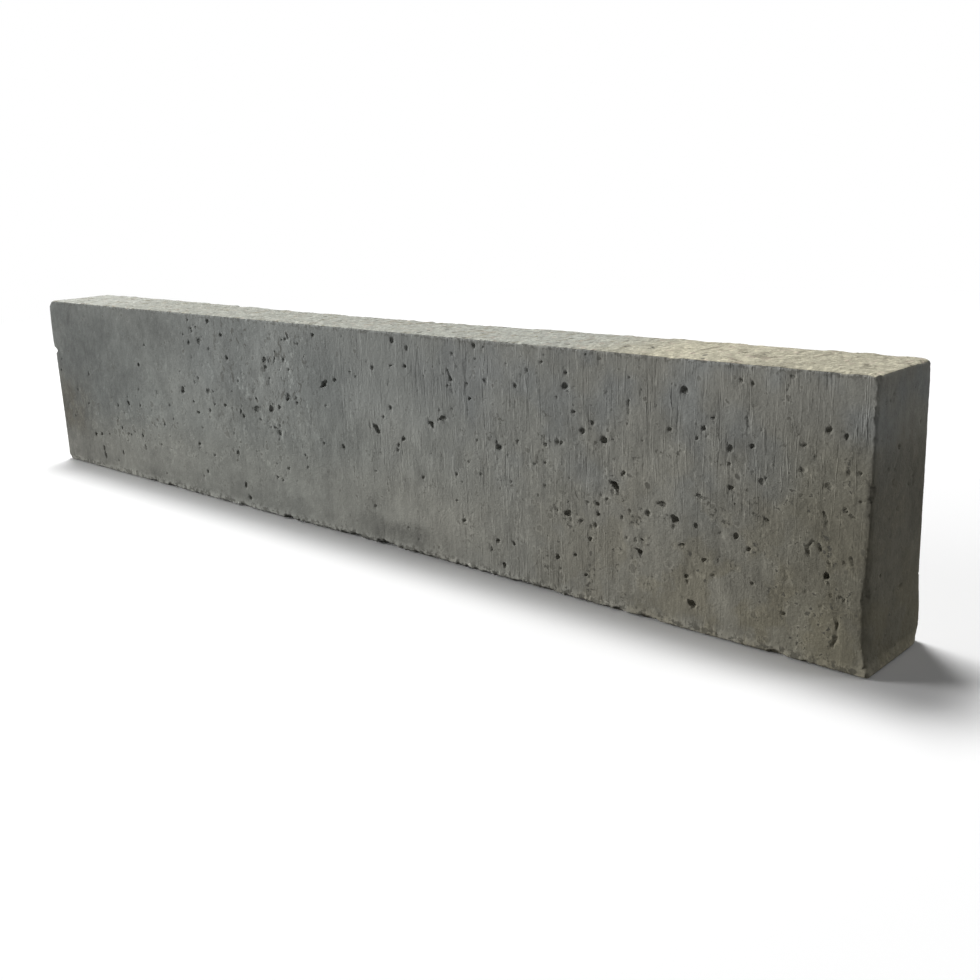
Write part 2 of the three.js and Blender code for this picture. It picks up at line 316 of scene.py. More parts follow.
def carve(points, hollow, face, members, rows):
    """Sinks rows of blowholes (across, up, half width, half height, depth, sides, phases, lean)."""
    first, second = IN_PLANE[face]
    order = members[np.argsort(points[members, first])]
    along = points[order, first]
    for across, up, wide, tall, deep, sides, phases, lean in rows:
        span = 1.5 * max(wide, tall)
        start, end = np.searchsorted(along, (across - span, across + span))
        near = order[start:end]
        near = near[np.abs(points[near, second] - up) < span]
        right, above = points[near, first] - across, points[near, second] - up
        dx = (right * math.cos(lean) + above * math.sin(lean)) / wide
        dy = (above * math.cos(lean) - right * math.sin(lean)) / tall
        edge = ragged_edge(np.arctan2(dy, dx), sides, phases)
        inside = np.maximum(1 - (dx * dx + dy * dy) / edge**2, 0)
        sunk = deep * inside**0.7
        points[near] += sunk[:, None] * INWARD[face]
        hollow[near] = np.maximum(hollow[near], sunk)


def blowhole_rows(face, members, points, random):
    """Seeded blowholes for a face, many small and few big."""
    count, least, most, depth_share = BLOWHOLES[face]
    first, second = IN_PLANE[face]
    spots = points[members][:, (first, second)]
    low, high = spots.min(0), spots.max(0)
    across = random.uniform(low[0], high[0], count)
    up = random.uniform(low[1], high[1], count)
    kept = random.random(count) < crowding(face, across, up)
    width = least + (most - least) * random.random(count) ** 4
    if face == "front":
        width *= 1 + 0.2 * smooth(-across, 0.02, 0.25)
    stretch = random.uniform(0.7, 1.4, count)
    sides = random.integers(3, 7, count)
    phases = random.uniform(0, 2 * math.pi, (count, 3))
    rows = []
    for i in np.flatnonzero(kept):
        half_width = width[i] * MM / 2
        tall = half_width * stretch[i]
        deep = 2 * half_width * depth_share
        rows.append((across[i], up[i], half_width, tall, deep, sides[i], phases[i], 0.0))
    return rows


def front_hole_rows(random):
    """The blowholes picked out on the front."""
    rows = []
    for from_foot, up, wide, tall, lean in FRONT_HOLES:
        share = FRONT_HOLE_DEPTHS[1]
        if max(wide, tall) < REDRAWN:
            share = random.uniform(*FRONT_HOLE_DEPTHS)
        deep = share * min(wide, tall) * MM
        sides, phases = random.integers(3, 7), random.uniform(0, 2 * math.pi, 3)
        centre = (HIGH[0] - from_foot * MM, up * MM)
        halves = (FRONT_HOLE_HALF * wide, FRONT_HOLE_HALF * tall)
        rows.append((*centre, *halves, deep, sides, phases, math.radians(lean)))
    return rows


def satellite_rows(hollow, face, members, points, random):
    """Small holes that cluster round the bigger ones and break up their outlines."""
    deep = members[hollow[members] > SATELLITE_DEPTH]
    if not len(deep):
        return []
    first, second = IN_PLANE[face]
    rows = []
    for parent in random.choice(deep, len(deep) // POINTS_PER_SATELLITE):
        across, up = points[parent, (first, second)] + random.normal(0, SATELLITE_SPREAD, 2)
        wide = random.uniform(*SATELLITE_HALVES) * MM
        tall = wide * random.uniform(0.8, 2.2)
        phases = random.uniform(0, 2 * math.pi, 3)
        rows.append((across, up, wide, tall, 0.9 * wide, random.integers(3, 6), phases, 0.0))
    return rows


# Cracks on the front, as (points along it, half width, depth) in millimetres. Points are
# (distance from the right foot, height).
FRONT_CRACKS = [
    ([(3, 111), (8, 111), (12, 110), (17, 112)], 0.7, 1.8),
    ([(85, 93), (79, 90), (75, 90), (70, 87)], 0.7, 1.4),
    ([(34, 100), (32, 94), (33, 88), (29, 82), (31, 75), (29, 67)], 0.8, 1.3),
    ([(29, 57), (27, 49), (25, 43), (23, 33), (22, 23), (24, 15)], 0.8, 1.4),
    ([(43, 71), (44, 76), (41, 80), (37, 80), (35, 75)], 0.9, 1.6),
    ([(25, 43), (22, 48), (19, 48), (17, 43)], 0.7, 1.2),
    ([(23, 106), (19, 102), (15, 99)], 0.8, 1.6),
    ([(16, 74), (14, 70), (15, 65)], 0.8, 1.4),
    ([(179, 155), (178, 146), (179, 136)], 0.8, 1.0),
    ([(351, 160), (348, 152), (346, 142)], 0.9, 1.0),
    ([(583, 152), (582, 147), (575, 146), (573, 152)], 0.9, 1.1),
    ([(907, 44), (910, 34), (907, 24), (905, 12)], 2.0, 1.4),
]


def cut_cracks(points, hollow, members):
    """Cuts thin, wandering grooves along the cracks."""
    spots = np.column_stack([HIGH[0] - points[members, 0], points[members, 2]])
    wander = np.column_stack([
        noise(points[members], 5 * MM, SEED + 7),
        noise(points[members], 5 * MM, SEED + 8),
    ])
    spots = spots + 1.0 * MM * wander
    broken = smooth(noise(points[members], 4 * MM, SEED + 9), -0.35, 0.25)
    for line, half_width, depth in FRONT_CRACKS:
        line = np.array(line) * MM
        for start, end in zip(line[:-1], line[1:]):
            way = end - start
            share = np.clip((spots - start) @ way / (way @ way), 0, 1)
            away = np.linalg.norm(spots - start - share[:, None] * way, axis=1)
            sunk = depth * MM * broken * np.maximum(1 - (away / (half_width * MM)) ** 2, 0)
            deeper = np.maximum(sunk - hollow[members], 0)
            points[members] += deeper[:, None] * INWARD["front"]
            hollow[members] += deeper


def nearest_faces(points):
    """The index of each point's nearest face, its depth under that one, and under the next."""
    found = depths(points)
    depth = np.array([found[face] for face in INWARD])
    ranked = np.sort(depth, axis=0)
    return np.argmin(depth, axis=0), ranked[0], ranked[1]


def roughen_outlines(points):
    """Shifts the skin within its faces by small random amounts, so that holes turn ragged."""
    nearest, _, inner = nearest_faces(points)
    share = HOLE_RAGGEDNESS * smooth(inner, 1 * MM, 6 * MM)
    shifts = [share * layered(points, 4.2 * MM, SEED + 20 + axis, 2) for axis in range(3)]
    for number, face in enumerate(INWARD):
        members = nearest == number
        for axis in IN_PLANE[face]:
            points[members, axis] += shifts[axis][members]


# A point belongs to a scoop of the solid when it lies deeper than this under its face, and
# further than the second length from the next face.
SCOOP_LEAST = 0.3 * MM
SCOOP_MARGIN = 12 * MM
# Every scoop is filled by this much, and wholly where the rest is shallower than a limit that
# wanders and rises over a short way.
SCOOP_FILL = 0.15 * MM
FILL_LIMIT = 0.30 * MM
FILL_RISE = 0.6 * MM
FILL_WANDER = 1.9 * MM
FILL_SPACING = 3.0 * MM
# How far round a redrawn hole, in millimetres, the scoop is filled.
REDRAWN_MARGIN = 2


def refill_scoops(points):
    """Fills the solid's own scoops unevenly, so that no two are alike. Returns what is hollow."""
    nearest, under, inner = nearest_faces(points)
    sunk = np.where(inner > SCOOP_MARGIN, np.maximum(under - SCOOP_LEAST, 0), 0)
    wanted = np.maximum(sunk - SCOOP_FILL, 0)
    for from_foot, up, wide, tall, _ in FRONT_HOLES:
        if max(wide, tall) > REDRAWN:
            right, above = points[:, 0] - HIGH[0] + from_foot * MM, points[:, 2] - up * MM
            near = np.hypot(right, above) < (max(wide, tall) / 2 + REDRAWN_MARGIN) * MM
            wanted[near & (points[:, 1] < 0)] = 0
    ragged = wanted + FILL_WANDER * layered(points, FILL_SPACING, SEED + 30, 2)
    kept = wanted * smooth(ragged, FILL_LIMIT, FILL_LIMIT + FILL_RISE)
    for number, face in enumerate(INWARD):
        members = nearest == number
        points[members] += (kept - sunk)[members, None] * INWARD[face]
    return kept


def lean_left_end(points):
    """Draws the left end in towards its base."""
    fade = 1 - smooth(depths(points)["left"], 0, 40 * MM)
    points[:, 0] += LEFT_LEAN * (1 - smooth(points[:, 2], 0, HEIGHT)) * fade


def fill_right_end(points):
    """Rounds the right end out a little above its foot."""
    fade = 1 - smooth(depths(points)["right"], 0, 30 * MM)
    low = smooth(points[:, 2], 3 * MM, 12 * MM) * (1 - smooth(points[:, 2], 16 * MM, 52 * MM))
    points[:, 0] += RIGHT_BULGE * low * fade


def sag_top(points):
    """Lets the top fall away to the back over its middle, as the float left it."""
    along = np.exp(-((points[:, 0] - TOP_SAG_AT) / TOP_SAG_SPREAD) ** 2)
    back = smooth(points[:, 1], LOW[1] + 8 * MM, HIGH[1])
    points[:, 2] -= TOP_SAG * along * back * smooth(points[:, 2], HEIGHT - 30 * MM, HEIGHT)


# Soft relief: how far apart its bumps are along each axis.
WAVES = 90 * MM
DENTS = (12 * MM, 12 * MM, 26 * MM)
RIPPLES = (5 * MM, 5 * MM, 14 * MM)
GRIT = (6 * MM, 9 * MM, 6 * MM)
# Points less deep than this under a face can be part of a blowhole.
HOLE_REACH = 6 * MM


def soften_faces(points, normals):
    """Presses the skin in by a soft relief, calmer at the left and grittier on the top."""
    on_top = smooth(normals[:, 2], 0.6, 0.9) * (points[:, 2] > HEIGHT - 8 * MM)
    waves = layered(points, WAVES, SEED + 10, 2)
    dents = layered(points, DENTS, SEED + 11, 3)
    ripples = layered(points, RIPPLES, SEED + 14, 2) * np.abs(normals[:, 1])
    ripples = ripples * smooth(points[:, 0], -0.20, 0.06)
    grit = np.abs(layered(points, GRIT, SEED + 12, 3))
    calm = smooth(points[:, 0], -0.22, -0.02) * smooth(points[:, 2], 0.03, 0.09)
    calm = np.maximum(0.35 + 0.65 * calm, smooth(points[:, 1], -0.03, 0.0))
    push = 0.6 + 0.25 * waves + 0.35 * dents * calm + 0.12 * ripples * (1 - on_top)
    push = push + on_top * (0.3 + 0.4 * dents + 0.45 * grit)
    points -= (push * MM)[:, None] * normals
    points[:, 2] = np.maximum(points[:, 2], 0)


def weather(points, normals):
    """Wears the skin's points, and returns how far each lies in a hollow."""
    roughen_outlines(points)
    hollow = refill_scoops(points)
    nearest, under, _ = nearest_faces(points)
    lean_left_end(points)
    fill_right_end(points)
    soften_faces(points, normals)

    random = np.random.default_rng(SEED)
    for number, face in enumerate(INWARD):
        members = np.flatnonzero((nearest == number) & (under < HOLE_REACH))
        if face == "front":
            picked = front_hole_rows(np.random.default_rng(SEED + 1))
            carve(points, hollow, face, members, picked)
        carve(points, hollow, face, members, blowhole_rows(face, members, points, random))
        carve(points, hollow, face, members, satellite_rows(hollow, face, members, points, random))
        if face == "front":
            cut_cracks(points, hollow, members)
    wear_arrises(points)
    sag_top(points)
    return hollow


# ---------------------------------------------------------------- meshes

def new_object(name, data):
    made = bpy.data.objects.new(name, data)
    bpy.context.scene.collection.objects.link(made)
    return made


def with_modifier(mesh, kind, kept=None, **settings):
    """A new mesh: the given one with one modifier applied, which leaves the kept points alone."""
    holder = new_object("work", mesh)
    modifier = holder.modifiers.new(kind.title(), kind)
    if kept is not None:
        holder.vertex_groups.new(name="kept").add(kept.tolist(), 1.0, "REPLACE")
        modifier.vertex_group = "kept"
        modifier.invert_vertex_group = True
    for name, value in settings.items():
        setattr(modifier, name, value)
    done = bpy.data.meshes.new_from_object(
        holder.evaluated_get(bpy.context.evaluated_depsgraph_get())
    )
    bpy.data.objects.remove(holder)
    return done


def store(mesh, name, values):
    """Keeps one number for each of a mesh's points, for the material to read."""
    attribute = mesh.attributes.new(name, "FLOAT", "POINT")
    attribute.data.foreach_set("value", np.asarray(values, np.float32))


# The fine mesh is kept at hollows deeper than the first length and no further than the second
# from the front, at the front's top and right arris within the third, and this many edges on.
KEPT_HOLLOW = 0.35 * MM
KEPT_FRONT = 8 * MM
KEPT_ARRIS = 4 * MM
KEPT_EDGES_ON = 2


def worth_keeping(mesh, points, hollow):
    """The points at holes, cracks and visible arrises of the front, which stay finely meshed."""
    depth = depths(points)
    arris = np.minimum(depth["top"], depth["right"]) + depth["front"] < KEPT_ARRIS
    wanted = (depth["front"] < KEPT_FRONT) & (hollow > KEPT_HOLLOW) | arris
    pairs = np.empty(len(mesh.edges) * 2, np.int32)
    mesh.edges.foreach_get("vertices", pairs)
    first, second = pairs.reshape(-1, 2).T
    for _ in range(KEPT_EDGES_ON):
        touched = wanted[first] | wanted[second]
        wanted = wanted.copy()
        wanted[first[touched]] = True
        wanted[second[touched]] = True
    return np.flatnonzero(wanted)


# What faces up no lower than this under the top is coloured as the top.
TOP_BAND = 12 * MM


def make_skin():
    """The kerb's surface as one closed mesh."""
    fine = with_modifier(
        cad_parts[NODE].data.copy(), "REMESH", mode="VOXEL", voxel_size=VOXEL, adaptivity=0
    )
    points = read_vectors(fine.vertices, "co")
    hollow = weather(points, read_vectors(fine.vertices, "normal"))
    fine.vertices.foreach_set("co", points.astype(np.float32).ravel())
    store(fine, "hollow", hollow / MM)
    fine.update()
    ratio = MOST_TRIANGLES / (2 * len(fine.polygons))
    kept = worth_keeping(fine, points, hollow)
    skin = with_modifier(fine, "DECIMATE", kept, ratio=ratio, use_collapse_triangulate=True)
    skin.shade_smooth()
    points = read_vectors(skin.vertices, "co")
    facing_up = smooth(read_vectors(skin.vertices, "normal")[:, 2], 0.45, 0.8)
    store(skin, "top", facing_up * (points[:, 2] > HEIGHT - TOP_BAND))
    store(skin, "edge", smooth(-nearest_faces(points)[2], -4 * MM, -1 * MM))
    return new_object("kerb_surface", skin)


# ---------------------------------------------------------------- the concrete

class Graph:
    """Short ways to add nodes to a material. An input is a value, or another node's output."""

    def __init__(self, tree):
        self.tree = tree

    def node(self, kind, inputs, **settings):
        made = self.tree.nodes.new(kind)
        for name, value in settings.items():
            setattr(made, name, value)
        for place, value in inputs.items():
            if isinstance(value, bpy.types.NodeSocket):
                self.tree.links.new(value, made.inputs[place])
            else:
                made.inputs[place].default_value = value
        return made

    def math(self, operation, *values):
        return self.node("ShaderNodeMath", dict(enumerate(values)), operation=operation).outputs[0]

    def chain(self, operation, total, *values):
        for value in values:
            total = self.math(operation, total, value)
        return total

    def add(self, *values):
        return self.chain("ADD", *values)

    def times(self, *values):
        return self.chain("MULTIPLY", *values)

    def most(self, *values):
        return self.chain("MAXIMUM", *values)

    def rise(self, value, low, high, at_low=0.0, at_high=1.0):
        """A smooth step from at_low to at_high as value goes from low to high."""
        inputs = {0: value, 1: low, 2: high, 3: at_low, 4: at_high}
        made = self.node("ShaderNodeMapRange", inputs, interpolation_type="SMOOTHSTEP")
        return made.outputs[0]

    def zone(self, *steps):
        """1 where all of several steps are high, each given as what rise takes."""
        return self.times(*(self.rise(*step) for step in steps))

    def blend(self, share, first, second, blend_type="MIX"):
        """Mixes two colours."""
        inputs = {0: share, 6: first, 7: second}
        made = self.node("ShaderNodeMix", inputs, data_type="RGBA", blend_type=blend_type)
        return made.outputs[2]

    def shaded(self, colour, factor):
        """A colour made brighter or darker by a factor."""
        grey = self.node("ShaderNodeCombineColor", {0: factor, 1: factor, 2: factor}).outputs[0]
        return self.blend(1.0, colour, grey, "MULTIPLY")

    def vector(self, operation, *values):
        made = self.node("ShaderNodeVectorMath", dict(enumerate(values)), operation=operation)
        return made.outputs["Value" if operation == "LENGTH" else "Vector"]

    def stretch(self, vector, *factors):
        return self.vector("MULTIPLY", vector, factors)

    def cloud(self, vector, size, detail=2.0, rough=0.5):
        """Fractal noise around 0.5 whose bumps are about size across, in metres."""
        inputs = {"Vector": vector, "Scale": 1 / size, "Detail": detail, "Roughness": rough}
        return self.node("ShaderNodeTexNoise", inputs).outputs[0]

    def sway(self, vector, size, detail=2.0, rough=0.5):
        """The same noise around 0."""
        return self.add(self.cloud(vector, size, detail, rough), -0.5)

    def cells(self, vector, size, feature="F1"):
        inputs = {"Vector": vector, "Scale": 1 / size}
        return self.node("ShaderNodeTexVoronoi", inputs, feature=feature)

    def attribute(self, name):
        return self.node("ShaderNodeAttribute", {}, attribute_name=name).outputs["Fac"]


def rgb(*parts):
    return (*parts, 1.0)


SLATE = rgb(0.165, 0.175, 0.164)
LOW_SLATE = rgb(0.225, 0.228, 0.205)
COOL_GREY = rgb(0.286, 0.298, 0.278)
WARM_GREY = rgb(0.288, 0.283, 0.250)
BLUE_GREY = rgb(0.262, 0.272, 0.264)
LOW_WARMTH = rgb(1.020, 1.0, 0.972)
HIGH_COOLNESS = rgb(0.992, 1.0, 1.022)
OLIVE = rgb(0.254, 0.234, 0.175)
DARK_OLIVE = rgb(0.200, 0.185, 0.135)
BROWN = rgb(0.150, 0.142, 0.112)
PALE_TOP = rgb(0.405, 0.412, 0.372)
COOL_TOP = rgb(0.330, 0.336, 0.297)
WARM_TOP = rgb(0.375, 0.353, 0.267)
PINK_GRAIN = rgb(0.38, 0.31, 0.26)
# Painted shade: the colour towards which holes, pinholes, cracks, creases, crumbled arrises and the
# top's pock marks are darkened, for the shade inside them.
HOLLOW_SHADE = rgb(0.085, 0.082, 0.068)


def random_parts(graph, cells):
    """Three random values for each cell of a pattern."""
    return graph.node("ShaderNodeSeparateColor", {0: cells.outputs["Color"]}).outputs


def bend(graph, place, size, amount):
    """Shifts a place by a random amount in each direction, so that what it draws turns ragged."""
    inputs = {"Vector": place, "Scale": 1 / size, "Detail": 1.0}
    shift = graph.node("ShaderNodeTexNoise", inputs).outputs["Color"]
    shift = graph.vector("SUBTRACT", shift, (0.5, 0.5, 0.5))
    return graph.vector("ADD", place, graph.stretch(shift, *[2 * amount] * 3))


def body_tone(graph, place, x, z):
    """Slate grey at the left end, browner to the right, and olive low down at the right."""
    drift = graph.times(graph.sway(place, 0.10), 0.8)
    left = graph.blend(graph.rise(z, 0.075, 0.015), SLATE, LOW_SLATE)
    body = graph.blend(graph.add(graph.rise(x, -0.50, -0.05), drift), left, COOL_GREY)
    body = graph.blend(graph.add(graph.rise(x, -0.15, 0.45), drift), body, WARM_GREY)
    blue = graph.zone((graph.cloud(place, 0.045), 0.42, 0.66), (z, 0.05, 0.11), (x, 0.0, 0.25))
    body = graph.blend(graph.times(blue, 0.75), body, BLUE_GREY)
    low_right = graph.zone((x, 0.10, 0.48), (z, 0.16, 0.02))
    patches = graph.cloud(bend(graph, place, 0.012, 0.006), 0.028, 3.0)
    patches = graph.rise(patches, 0.42, 0.56, 0.50, 1.0)
    body = graph.blend(graph.times(low_right, patches), body, OLIVE)
    by_left_end = graph.zone((x, -0.40, -0.475), (z, 0.025, 0.05), (z, 0.12, 0.08))
    body = graph.blend(graph.times(by_left_end, patches, 0.8), body, BROWN)
    by_arris = graph.zone((x, 0.40, 0.47), (z, 0.165, 0.12))
    return graph.blend(graph.times(by_arris, 0.6), body, DARK_OLIVE)


# Broad soft stains on the front, as (distance right of the middle, height, half width,
# half height, change of brightness), in metres.
STAINS = [
    (-0.47, 0.015, 0.09, 0.060, -0.22),
    (-0.46, 0.100, 0.05, 0.050, -0.10),
    (-0.27, 0.155, 0.08, 0.030, -0.15),
    (-0.27, 0.088, 0.05, 0.020, 0.07),
    (-0.37, 0.040, 0.04, 0.018, 0.08),
    (-0.23, 0.014, 0.10, 0.020, -0.15),
    (-0.13, 0.130, 0.06, 0.070, -0.17),
    (-0.20, 0.155, 0.05, 0.030, -0.05),
    (-0.09, 0.048, 0.09, 0.030, 0.10),
    (0.15, 0.140, 0.17, 0.060, 0.09),
    (0.28, 0.160, 0.07, 0.030, 0.08),
    (0.405, 0.166, 0.045, 0.022, 0.14),
    (0.07, 0.008, 0.09, 0.022, -0.14),
    (0.064, 0.018, 0.030, 0.014, -0.20),
    (0.112, 0.016, 0.032, 0.014, -0.18),
    (0.088, 0.038, 0.014, 0.012, 0.13),
    (0.119, 0.040, 0.020, 0.014, 0.12),
    (0.079, 0.047, 0.008, 0.012, -0.09),
    (0.058, 0.036, 0.010, 0.012, -0.12),
    (0.35, 0.110, 0.06, 0.024, 0.10),
    (0.41, 0.046, 0.08, 0.022, -0.12),
    (0.445, 0.016, 0.06, 0.020, 0.10),
    (-0.285, 0.038, 0.035, 0.018, -0.08),
    (-0.127, 0.026, 0.030, 0.018, 0.06),
]


# A stain fades out between these shares of its half size.
STAIN_FADE = (1.35, 0.3)


def stains(graph, place, face):
    """The sum of the stains' changes at a place."""
    bent = bend(graph, place, 0.05, 0.02)
    total = 0.0
    for across, up, wide, tall, change in STAINS:
        centre = (-across / wide, 0.0, -up / tall)
        scaled = graph.vector("MULTIPLY_ADD", bent, (1 / wide, 0.0, 1 / tall), centre)
        away = graph.vector("LENGTH", scaled)
        total = graph.add(total, graph.rise(away, *STAIN_FADE, 0.0, change))
    return graph.times(total, face)


def drag_lines(graph, place, x, z, face):
    """Thin upright lines left as the mould was drawn off: (pale lines, partly pale streaks and
    partly a painted highlight; darker scores, which are painted shade).
    """
    zone = graph.rise(graph.cloud(place, 0.045), 0.34, 0.58, 0.55, 1.0)
    zone = graph.times(zone, graph.rise(x, -0.14, 0.10, 0.08, 1.0), face)
    low_right = graph.zone((x, 0.20, 0.38), (z, 0.115, 0.065))
    zone = graph.times(zone, graph.rise(low_right, 0.0, 1.0, 1.0, 0.25))
    low_middle = graph.zone((x, 0.22, 0.12), (z, 0.070, 0.035))
    zone = graph.times(zone, graph.rise(low_middle, 0.0, 1.0, 1.0, 0.15))
    ridge = graph.sway(graph.stretch(place, 1.0, 1.0, 0.030), 0.0026, 1.0)
    ridge = graph.math("ABSOLUTE", ridge)
    patches = graph.cloud(graph.stretch(place, 1.0, 1.0, 0.20), 0.0034)
    pale = graph.zone((ridge, 0.045, 0.015), (patches, 0.46, 0.54))
    second = graph.cloud(graph.stretch(place, 1.0, 1.0, 0.05), 0.0024, 1.0)
    painted_shade = graph.zone((second, 0.40, 0.30), (patches, 0.56, 0.44))
    return graph.times(pale, zone), graph.times(painted_shade, zone)


def small_pits(graph, place, crowd):
    """Pinholes too small for the mesh, each of a size of its own: (how far painted shade darkens
    them, a painted highlight round the bigger ones).
    """
    found = 0.0
    rim_highlights = 0.0
    for spacing, largest in ((0.0170, 0.15), (0.0105, 0.22), (0.0056, 0.26)):
        cells = graph.cells(bend(graph, place, 0.30 * spacing, 0.17 * spacing), spacing)
        parts = random_parts(graph, cells)
        size = graph.times(graph.rise(parts[0], 0.25, 1.0, 0.0, largest), crowd)
        under = graph.math("SUBTRACT", size, cells.outputs["Distance"])
        depth = graph.rise(parts[1], 0.0, 1.0, 0.3, 1.0)
        found = graph.most(found, graph.times(graph.rise(under, -0.02, 0.06), depth))
        rim = graph.zone((under, -0.12, -0.02), (parts[0], 0.5, 0.6))
        rim_highlights = graph.most(rim_highlights, graph.times(rim, crowd))
    return found, rim_highlights


def scuffs(graph, place, x, z, face):
    """The broken skin near the right end: (painted shade in its cracks with darker specks, painted
    highlights along the cracks with pale specks, a height for each flake).
    """
    patches = graph.rise(graph.cloud(place, 0.024), 0.46, 0.56)
    zone = graph.times(graph.rise(x, 0.37, 0.45), graph.rise(z, 0.150, 0.115), patches, face)
    ragged = graph.stretch(bend(graph, place, 0.0030, 0.0018), 1.0, 1.0, 0.7)
    net = graph.cells(ragged, 0.0085, "DISTANCE_TO_EDGE").outputs["Distance"]
    broken = graph.cloud(place, 0.0034)
    crack_shade_and_specks = graph.times(graph.rise(net, 0.130, 0.040), graph.rise(broken, 0.57, 0.62), zone)
    rim_highlights = graph.times(graph.rise(net, 0.20, 0.10), graph.rise(broken, 0.50, 0.54), zone)
    around = graph.times(graph.rise(x, 0.04, 0.36, 0.40, 1.0), graph.rise(z, 0.155, 0.125), face)
    clusters = graph.times(graph.rise(graph.cloud(place, 0.014), 0.57, 0.64), around)
    specks = graph.cloud(place, 0.0030, 2.0, 0.6)
    crack_shade_and_specks = graph.most(crack_shade_and_specks, graph.times(graph.rise(specks, 0.44, 0.38), clusters))
    rim_highlights = graph.most(rim_highlights, graph.times(graph.rise(specks, 0.54, 0.62), clusters))
    flakes = random_parts(graph, graph.cells(ragged, 0.0085))[0]
    return crack_shade_and_specks, rim_highlights, graph.times(flakes, zone)


def wrinkles(graph, place, x, z, face):
    """A patch of short bent creases left of the middle: (painted shade in the creases, painted
    highlights on the folds between them).
    """
    zone = graph.zone((x, -0.24, -0.13), (x, 0.02, -0.05), (z, 0.060, 0.095))
    zone = graph.times(zone, face, graph.rise(graph.cloud(place, 0.04), 0.35, 0.50))
    bent = graph.stretch(bend(graph, place, 0.008, 0.005), 1.0, 1.0, 0.55)
    folds = graph.cloud(bent, 0.0058, 2.0, 0.6)
    furrow_shade = graph.times(graph.rise(folds, 0.40, 0.33), zone)
    return furrow_shade, graph.times(graph.rise(folds, 0.58, 0.66), zone)


def crumbs_by_arrises(graph, place, z, face):
    """Where the front crumbles at its top and base arrises: (painted shade in the crumbs, and a
    pale band low down and over the right end's foot, which is painted light).
    """
    by_top = graph.rise(z, HEIGHT - 8 * MM, HEIGHT - 2 * MM)
    band = graph.most(by_top, graph.rise(z, 12 * MM, 3 * MM))
    spots = graph.cloud(graph.stretch(place, 0.8, 1.0, 1.0), 0.0034, 3.0, 0.6)
    crumbs = graph.rise(graph.add(spots, graph.times(band, 0.12)), 0.60, 0.68)
    # Painted light: the lowest few millimetres all round and the right end's upturned foot are made
    # paler, for the light they would catch from the floor.
    pale = graph.zone((z, 9 * MM, 4 * MM), (spots, 0.56, 0.46))
    pale = graph.add(pale, graph.zone((z, 11 * MM, 7 * MM), (face, 1.0, 0.0)))
    return graph.times(crumbs, band, face), pale


def float_tone(graph, place, x):
    """The top as the float left it: pale laitance, pock marks darkened with painted shade, smears
    and a few coloured grains.
    """
    tone = graph.blend(graph.rise(x, 0.24, 0.35), COOL_TOP, WARM_TOP)
    tone = graph.blend(graph.rise(x, -0.42, -0.30, 1.0, 0.0), tone, PALE_TOP)
    across = graph.stretch(bend(graph, place, 0.004, 0.002), 1.0, 0.5, 1.0)
    smears = graph.cloud(across, 0.0075, 4.0, 0.62)
    tone = graph.blend(graph.rise(smears, 0.47, 0.33, 0.0, 0.85), tone, DARK_OLIVE)
    pit_shade = graph.cells(across, 0.0062)
    parts = random_parts(graph, pit_shade)
    size = graph.rise(parts[0], 0.60, 1.0, 0.0, 0.30)
    under = graph.math("SUBTRACT", size, pit_shade.outputs["Distance"])
    # Painted shade in the pock marks.
    tone = graph.blend(graph.times(graph.rise(under, -0.02, 0.08), 0.80), tone, HOLLOW_SHADE)
    grains = random_parts(graph, graph.cells(place, 0.0040))
    tone = graph.blend(graph.times(graph.rise(grains[0], 0.92, 0.95), 0.40), tone, PINK_GRAIN)
    pale = graph.rise(graph.cloud(across, 0.0040, 3.0, 0.6), 0.46, 0.66, 0.90, 1.34)
    fine = graph.rise(graph.cloud(place, 0.0026, 2.0, 0.6), 0.38, 0.62, 0.88, 1.14)
    bright_patch = graph.zone((x, 0.31, 0.35, 1.0, 1.12), (x, 0.38, 0.42, 1.0, 0.89))
    pale = graph.times(pale, fine, bright_patch)
    return graph.shaded(tone, pale)


def pit_crowding(graph, place, x, z):
    """How thickly pinholes lie: most in a low band at the left, and low down at the right."""
    crowd = graph.rise(graph.cloud(place, 0.05), 0.38, 0.56, 0.35, 1.0)
    low_band = graph.zone((z, 0.028, 0.045), (z, 0.100, 0.075))
    more = graph.add(graph.rise(x, 0.02, -0.10, 0.0, 0.7), graph.rise(x, -0.24, -0.34, 0.0, 0.5))
    low_right = graph.zone((x, 0.12, 0.22), (z, 0.12, 0.08), (x, 0.34, 0.42, 0.6, 0.1))
    crowd = graph.add(crowd, graph.times(low_band, more), low_right)
    bare = graph.zone((z, 0.045, 0.028), (x, 0.15, 0.08), (x, -0.34, -0.26))
    return graph.times(crowd, graph.rise(bare, 0.0, 1.0, 1.0, 0.45))


def smoothness(graph, x, z, face):
    """Where the skin is smooth: (at the left, in all, how strong the mottle is)."""
    to_left = graph.rise(x, -0.08, -0.28)
    low_middle = graph.zone((x, 0.06, -0.02), (z, 0.08, 0.05))
    smooth_part = graph.most(to_left, low_middle, graph.rise(face, 1.0, 0.0, 0.0, 0.8))
    even = graph.zone((x, -0.12, -0.04), (x, 0.20, 0.12), (z, 0.100, 0.130))
    mottled = graph.rise(smooth_part, 0.0, 1.0, 0.90, 0.28)
    return to_left, smooth_part, graph.times(mottled, graph.rise(even, 0.0, 1.0, 1.0, 0.45))


def soft_streaks(graph, place, upright, x, smooth_part):
    """Soft upright streaks around 0, strongest where the skin is rough."""
    streaks = graph.sway(graph.stretch(place, 1.0, 1.0, 0.08), 0.0030, 2.0, 0.6)
    rough = graph.rise(smooth_part, 0.0, 1.0, 1.0, 0.06)
    patches = graph.rise(graph.cloud(upright, 0.022), 0.40, 0.62, 0.15, 1.0)
    return graph.times(streaks, rough, graph.rise(x, -0.20, 0.0, 0.3, 1.0), patches)


